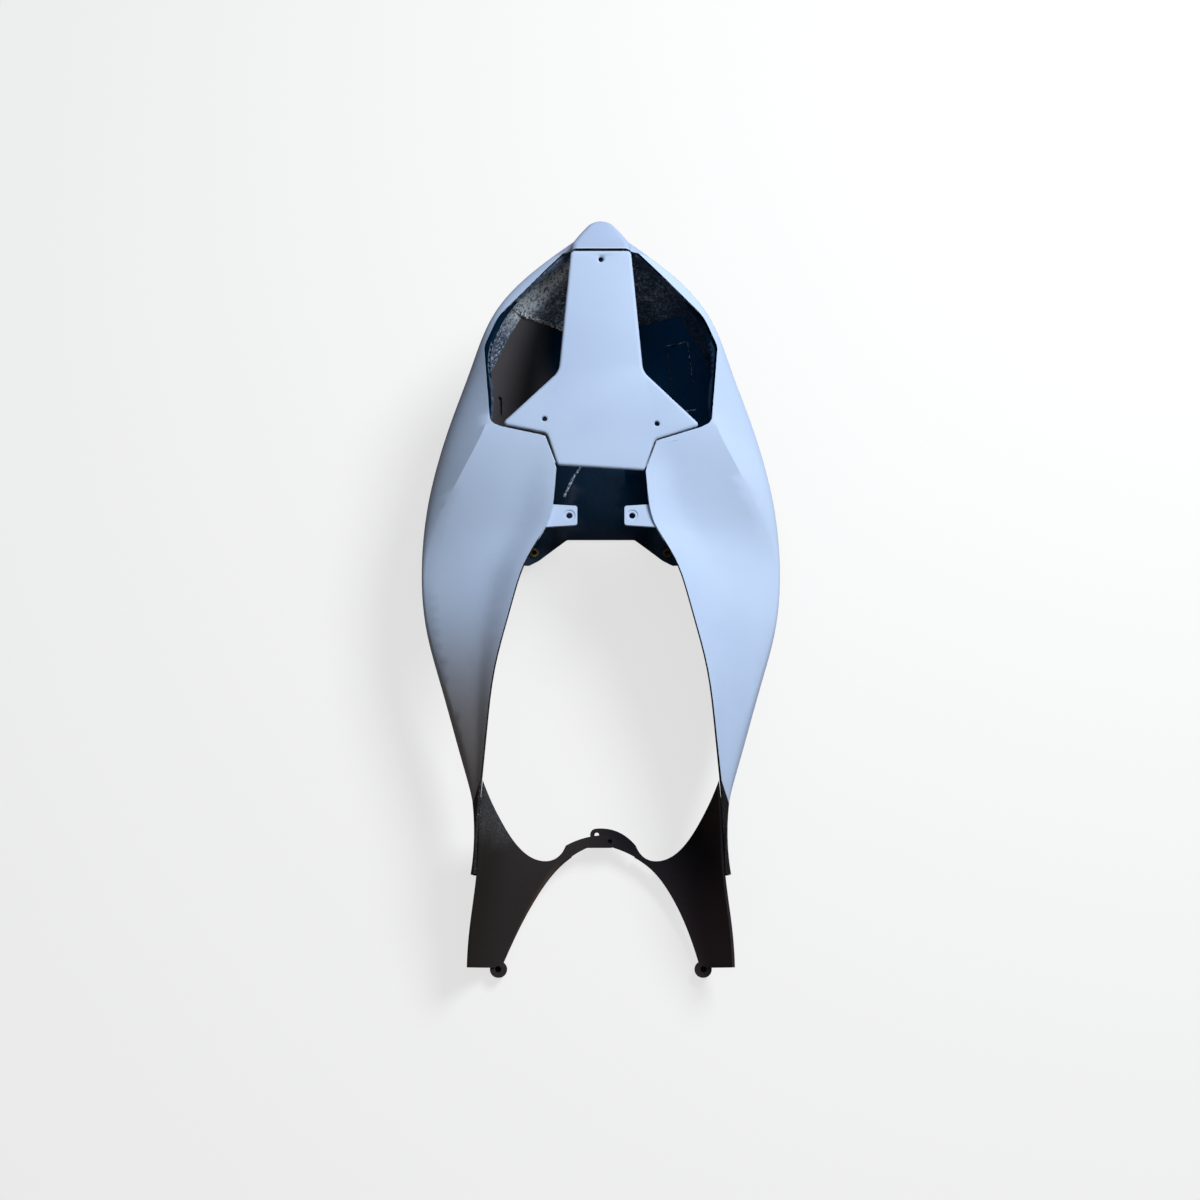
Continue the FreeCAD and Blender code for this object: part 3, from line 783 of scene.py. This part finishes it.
@dataclass(frozen=True)
class MatLayer:
    """A layer of mat on the tub's inside, as a convex outline in plan, counted to the left."""

    corners: tuple[Spot, ...]
    depth: float
    finish: TubFinish
    raggedness: float = 0.0008
    margin: float = 0.012

    @classmethod
    def strip(cls, start: Spot, end: Spot, width: float, depth: float, finish: TubFinish) -> "MatLayer":
        """A narrow strip between two places.

        Args:
            start: middle of one end.
            end: middle of the other end.
            width: the strip's width.
            depth: how far it stands up.
            finish: its finish.

        Returns:
            The strip's layer.
        """
        along = Vector(end) - Vector(start)
        side = Vector((-along.y, along.x)).normalized() * (width / 2)
        ends = (Vector(start) - side, Vector(end) - side, Vector(end) + side, Vector(start) + side)
        return cls(tuple((spot.x, spot.y) for spot in ends), depth, finish, width / 4)

    def sides(self) -> list[tuple[Spot, Spot]]:
        """The outline's sides, each as a pair of corners."""
        return list(zip(self.corners, self.corners[1:] + self.corners[:1]))

    def covers(self, place: Vector) -> bool:
        """Tells whether a place lies inside the outline."""
        return all((bx - ax) * (place.y - ay) >= (by - ay) * (place.x - ax)
                   for (ax, ay), (bx, by) in self.sides())

    def is_near(self, place: Vector) -> bool:
        """Tells whether a place lies inside the outline's box or close to it."""
        xs, ys = zip(*self.corners)
        return (min(xs) - self.margin < place.x < max(xs) + self.margin
                and min(ys) - self.margin < place.y < max(ys) + self.margin)


@dataclass
class Undertray:
    """The black tub, with the mat layers that line its rear and its walls."""

    frame: dict
    wall_reach: float = 0.0045
    core_height: float = 0.20
    wall_tilt: float = 0.42
    wall_front: float = 0.10
    slot_place: Spot = (-0.1015, 0.2020)
    slot_reach: float = 0.0125
    slot_backing: tuple[float, float, float] = (0.034, 0.018, 0.0008)
    sight_height: float = 0.3
    sight_gap: float = 1e-4
    cut_distance: float = 1e-6
    mat_front: float = 0.285
    frays: int = 3
    seed: int = 7
    mark: str = "inside"
    node: str = "undertray"

    def layers(self) -> list[MatLayer]:
        """Lists the layers from the lowest up.

        Returns:
            The rear mat, the patch on the right, the mat's torn edge and two folds, a scuff on the right,
            a painted highlight along the floor's fold in front of the plate, and the patch's edges.
        """
        front = self.mat_front
        mat, fray, strip = TubFinish.MAT, TubFinish.FRAY, MatLayer.strip
        rear = MatLayer(((-0.13, front), (0.13, front), (0.13, 0.40), (-0.13, 0.40)), 0.0009, mat)
        patch_corners = ((0.0668, 0.2644), (0.0756, 0.2146), (0.0940, 0.2275), (0.0874, 0.2624))
        patch = MatLayer(patch_corners, 0.0006, TubFinish.RESIN)
        torn_bend = (-0.060, front - 0.0005)
        torn = [strip((-0.080, front + 0.0005), torn_bend, 0.0024, 0.0006, fray),
                strip(torn_bend, (-0.036, front - 0.002), 0.0022, 0.0006, fray)]
        folds = [strip((-0.068, 0.288), (-0.034, 0.322), 0.0018, 0.0014, mat),
                 strip((-0.054, 0.289), (-0.026, 0.317), 0.0016, 0.0012, mat)]
        scuff = strip((0.0875, 0.204), (0.0973, 0.203), 0.0012, 0.0006, fray)
        # Painted highlight: a lighter raised strip along the floor's fold in front of the plate.
        fold_highlight_bend = (-0.030, 0.150)
        fold_highlight = [strip(fold_highlight_bend, (-0.020, 0.166), 0.0018, 0.0005, mat),
                strip((-0.0386, 0.129), fold_highlight_bend, 0.0022, 0.0005, mat)]
        left, _, right, top = patch.sides()
        edges = [strip(*left, 0.0008, 0.0004, mat),
                 strip(*right, 0.0007, 0.0004, fray),
                 strip(*top, 0.0009, 0.0004, fray)]
        return [rear, patch, *torn, *folds, scuff, *fold_highlight, *edges]

    def looks_in(self, face: bmesh.types.BMFace, tree: BVHTree) -> bool:
        """Tells the tub's inner skin.

        Args:
            face: a face of the tub.
            tree: search tree of the tub's faces.

        Returns:
            True where the face looks into the tub and has one wall behind it.
        """
        centre = face.calc_center_median()
        if face.normal.dot(Vector((0.0, centre.y, self.core_height)) - centre) <= 0.0:
            return False
        hit = tree.ray_cast(centre - face.normal * MERGE_DISTANCE, -face.normal, self.wall_reach)
        return hit[0] is not None

    def back_slot(self, mesh: bmesh.types.BMesh, tree: BVHTree) -> None:
        """Closes the wall's slot with a thin dark backing on the tub's outside.

        Args:
            mesh: the tub's mesh.
            tree: search tree of the tub's faces.
        """
        spots = []
        for side in (-1, 1):
            x, y = self.slot_place
            above = Vector((x, y + side * self.slot_reach, self.sight_height))
            place, normal, _, _ = tree.ray_cast(above, Vector((0.0, 0.0, -1.0)))
            under, _, _, _ = tree.ray_cast(place - normal * self.sight_gap, -normal)
            spots.append((under, normal))
        place = (spots[0][0] + spots[1][0]) / 2
        normal = (spots[0][1] + spots[1][1]).normalized()
        turn = normal.to_track_quat("Z", "Y").to_matrix().to_4x4()
        seat = Matrix.Translation(place - normal * self.slot_backing[2] / 2)
        shape = Matrix.Diagonal((*self.slot_backing, 1.0))
        bmesh.ops.create_cube(mesh, size=1.0, matrix=seat @ turn @ shape)

    def cut(self, mesh: bmesh.types.BMesh, layer: MatLayer) -> None:
        """Cuts the inner skin along a layer's outline.

        Args:
            mesh: the tub's mesh.
            layer: the layer.
        """
        inside = mesh.faces.layers.int[self.mark]
        for start, end in layer.sides():
            near = [f for f in mesh.faces if f[inside] and layer.is_near(f.calc_center_median())]
            edges = dict.fromkeys(edge for face in near for edge in face.edges)
            corners = dict.fromkeys(corner for face in near for corner in face.verts)
            bmesh.ops.bisect_plane(
                mesh, geom=[*near, *edges, *corners], dist=self.cut_distance, plane_co=(*start, 0.0),
                plane_no=(end[1] - start[1], start[0] - end[0], 0.0))

    def covered(self, mesh: bmesh.types.BMesh, layer: MatLayer) -> list[bmesh.types.BMFace]:
        """Inner faces of the tub inside a layer's outline."""
        inside = mesh.faces.layers.int[self.mark]
        return [f for f in mesh.faces if f[inside] and layer.covers(f.calc_center_median())]

    def lay(self, mesh: bmesh.types.BMesh, layer: MatLayer, chance: random.Random) -> None:
        """Raises the skin inside a layer's outline and frays its edge.

        Args:
            mesh: the tub's mesh.
            layer: the layer.
            chance: source of the ragged edge.
        """
        self.cut(mesh, layer)
        inside = mesh.faces.layers.int[self.mark]
        region = dict.fromkeys(self.covered(mesh, layer))
        border = [e for f in region for e in f.edges if any(other not in region for other in e.link_faces)]
        bmesh.ops.subdivide_edges(mesh, edges=list(dict.fromkeys(border)), cuts=self.frays)
        raised = bmesh.ops.extrude_face_region(mesh, geom=self.covered(mesh, layer))["geom"]
        tops = dict.fromkeys(element for element in raised if isinstance(element, bmesh.types.BMFace))
        mesh.normal_update()
        moves = {}
        corners = dict.fromkeys(corner for face in tops for corner in face.verts)
        for corner in sorted(corners, key=lambda corner: corner.co.to_tuple(6)):
            moves[corner] = corner.normal * layer.depth
            if any(face not in tops for face in corner.link_faces):
                spread = layer.raggedness
                aside = chance.uniform(-spread, spread)
                along = chance.uniform(-spread, spread)
                moves[corner] += Vector((aside, along, 0.0))
        for corner, move in moves.items():
            corner.co += move
        for face in tops:
            face.material_index = layer.finish.value
        beside = dict.fromkeys(other for face in tops for edge in face.edges for other in edge.link_faces)
        for wall in [face for face in beside if face not in tops]:
            wall.material_index = layer.finish.value
            wall[inside] = 0
            wall.smooth = False
            for edge in wall.edges:
                edge.smooth = False

    def build(self, resin: Material, mat: Material, fray: Material) -> Object:
        """Builds and dresses the tub.

        Args:
            resin: finish of the smooth skin.
            mat: finish of the rough mat.
            fray: finish of the mat's torn edges.

        Returns:
            The tub's piece.
        """
        mesh = merged_copy(self.frame["nodes"][self.node], self.node)
        inside = mesh.faces.layers.int.new(self.mark)
        tree = BVHTree.FromBMesh(mesh)
        for face in mesh.faces:
            face[inside] = int(self.looks_in(face, tree))
        for face in mesh.faces:
            centre = face.calc_center_median()
            inward = centre.y > self.wall_front and face.normal.x * centre.x < 0.0
            if inward and (not face[inside] or face.normal.z < self.wall_tilt):
                face.material_index = TubFinish.MAT.value
        self.back_slot(mesh, tree)
        chance = random.Random(self.seed)
        for layer in self.layers():
            self.lay(mesh, layer, chance)
        mesh.faces.layers.int.remove(mesh.faces.layers.int[self.mark])
        bmesh.ops.triangulate(mesh, faces=[face for face in mesh.faces if len(face.verts) > 4])
        return placed(mesh, "undertray_moulding", [resin, mat, fray], "black_laminate", self.node)


@dataclass
class BoredPiece(PlainPiece):
    """A CAD node whose upright bores are closed near their lower end by a disc that hides the floor: in
    the leg lugs a dark sheet standing in for the shade inside the hole, in the inserts a closed end.
    """

    bores: tuple[Spot, ...]
    radius: float
    end_lift: float = 0.001
    reach: float = 3.0
    segments: int = 24

    def build(self, material: Material) -> Object:
        """Builds and dresses the piece.

        Args:
            material: its finish.

        Returns:
            The piece.
        """
        mesh = merged_copy(self.frame["nodes"][self.node], self.node)
        reach = self.reach * self.radius
        # Each disc hides the floor seen through the bore; in the lugs it stands in for the shade inside
        # the hole.
        for spot in self.bores:
            near = [c.co.z for c in mesh.verts if (c.co.xy - Vector(spot)).length < reach]
            place = Matrix.Translation((*spot, min(near) + self.end_lift))
            bmesh.ops.create_circle(
                mesh, cap_ends=True, segments=self.segments, radius=self.radius, matrix=place)
        return placed(mesh, self.name, [material], self.slot, self.node)


@dataclass
class Lamp:
    """One soft area lamp."""

    name: str
    place: Vector
    aim: Vector
    size: float
    power: float
    colour: Colour = (1.0, 1.0, 1.0)

    def build(self) -> None:
        """Hangs the lamp and points it at its aim."""
        data = bpy.data.lights.new(self.name, "AREA")
        data.shape = "DISK"
        data.size = self.size
        data.energy = self.power
        data.color = self.colour
        lamp = bpy.data.objects.new(self.name, data)
        bpy.context.scene.collection.objects.link(lamp)
        lamp.location = self.place
        lamp.rotation_euler = (self.aim - self.place).to_track_quat("-Z", "Y").to_euler()


@dataclass
class Studio:
    """Floor, lamps, world and camera."""

    target: Vector = field(default_factory=lambda: Vector((-0.0008, -0.00285, 0.090)))
    distance: float = 1.5
    elevation: float = math.radians(76.0)
    focal_pixels: float = 1538.0
    image_pixels: float = 1200.0
    sensor: float = 36.0
    floor_reach: float = 6.0
    world_tone: Colour = (0.74, 0.87, 1.0)
    world_strength: float = 0.07
    backdrop_tone: Colour = (0.94, 0.95, 0.96)
    lamp_aim: Vector = field(default_factory=lambda: Vector((0.0, 0.0, 0.10)))

    def floor(self) -> None:
        """Lays the floor."""
        mesh = bmesh.new()
        bmesh.ops.create_grid(mesh, x_segments=1, y_segments=1, size=self.floor_reach)
        data = bpy.data.meshes.new("floor")
        mesh.to_mesh(data)
        mesh.free()
        data.materials.append(PaleFloor().material())
        piece = bpy.data.objects.new("floor", data)
        bpy.context.scene.collection.objects.link(piece)

    def lamps(self) -> None:
        """Hangs the lamps: a strong one at the right rear, a weak one above, a weak warm one in front."""
        aim = self.lamp_aim
        Lamp("right_rear", Vector((0.90, 0.88, 1.50)), aim, 0.8, 35.0).build()
        Lamp("overhead", Vector((0.1, 0.2, 2.1)), aim, 1.4, 3.0).build()
        Lamp("front_fill", Vector((-0.9, -1.8, 1.2)), aim, 1.0, 3.0, (1.0, 0.78, 0.56)).build()

    def sky(self) -> None:
        """Sets a dim even world that is pale to the camera."""
        world = bpy.data.worlds.new("studio")
        bpy.context.scene.world = world
        world.use_nodes = True
        tree = world.node_tree
        tree.nodes.clear()
        path = tree.nodes.new("ShaderNodeLightPath")
        dim = tree.nodes.new("ShaderNodeBackground")
        dim.inputs["Color"].default_value = (*self.world_tone, 1.0)
        dim.inputs["Strength"].default_value = self.world_strength
        pale = tree.nodes.new("ShaderNodeBackground")
        pale.inputs["Color"].default_value = (*self.backdrop_tone, 1.0)
        blend = tree.nodes.new("ShaderNodeMixShader")
        end = tree.nodes.new("ShaderNodeOutputWorld")
        tree.links.new(path.outputs["Is Camera Ray"], blend.inputs[0])
        tree.links.new(dim.outputs[0], blend.inputs[1])
        tree.links.new(pale.outputs[0], blend.inputs[2])
        tree.links.new(blend.outputs[0], end.inputs["Surface"])

    def camera(self) -> None:
        """Sets the camera over the front, looking down and to the rear."""
        data = bpy.data.cameras.new("camera")
        data.sensor_width = self.sensor
        data.lens = self.sensor * self.focal_pixels / self.image_pixels
        piece = bpy.data.objects.new("camera", data)
        bpy.context.scene.collection.objects.link(piece)
        offset = Vector((0.0, -math.cos(self.elevation), math.sin(self.elevation))) * self.distance
        piece.location = self.target + offset
        piece.rotation_euler = (-offset).to_track_quat("-Z", "Y").to_euler()
        bpy.context.scene.camera = piece

    def build(self) -> None:
        """Builds the whole studio."""
        self.floor()
        self.lamps()
        self.sky()
        self.camera()
        bpy.context.scene.view_settings.view_transform = "Standard"


def main() -> None:
    """Builds the tail fairing piece by piece, then the studio round it."""
    logging.basicConfig(level=logging.INFO, format="%(name)s %(message)s")
    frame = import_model()
    gelcoat = Gelcoat().material()
    plate_gelcoat = Gelcoat(name="plate_gelcoat", edge_round=0.003).material()
    lining = GlassMat.lining().material()
    satin = SatinLaminate().material()
    brass = DullBrass().material()
    TailShell(frame).build(gelcoat, lining)
    PlainPiece(frame, "seat_plate", "plate_moulding", "plate_gelcoat").build(plate_gelcoat)
    Undertray(frame).build(Resin().material(), GlassMat().material(), FrayedGlass().material())
    BoredPiece(frame, "undertray_inserts", "threaded_inserts", "insert_brass",
               INSERT_BORES, INSERT_BORE_RADIUS).build(brass)
    for name, lug in LUG_BORES.items():
        BoredPiece(frame, name, f"{name}_moulding", "leg_laminate", (lug,), LUG_BORE_RADIUS).build(satin)
    Studio().build()


if __name__ == "__main__":
    main()
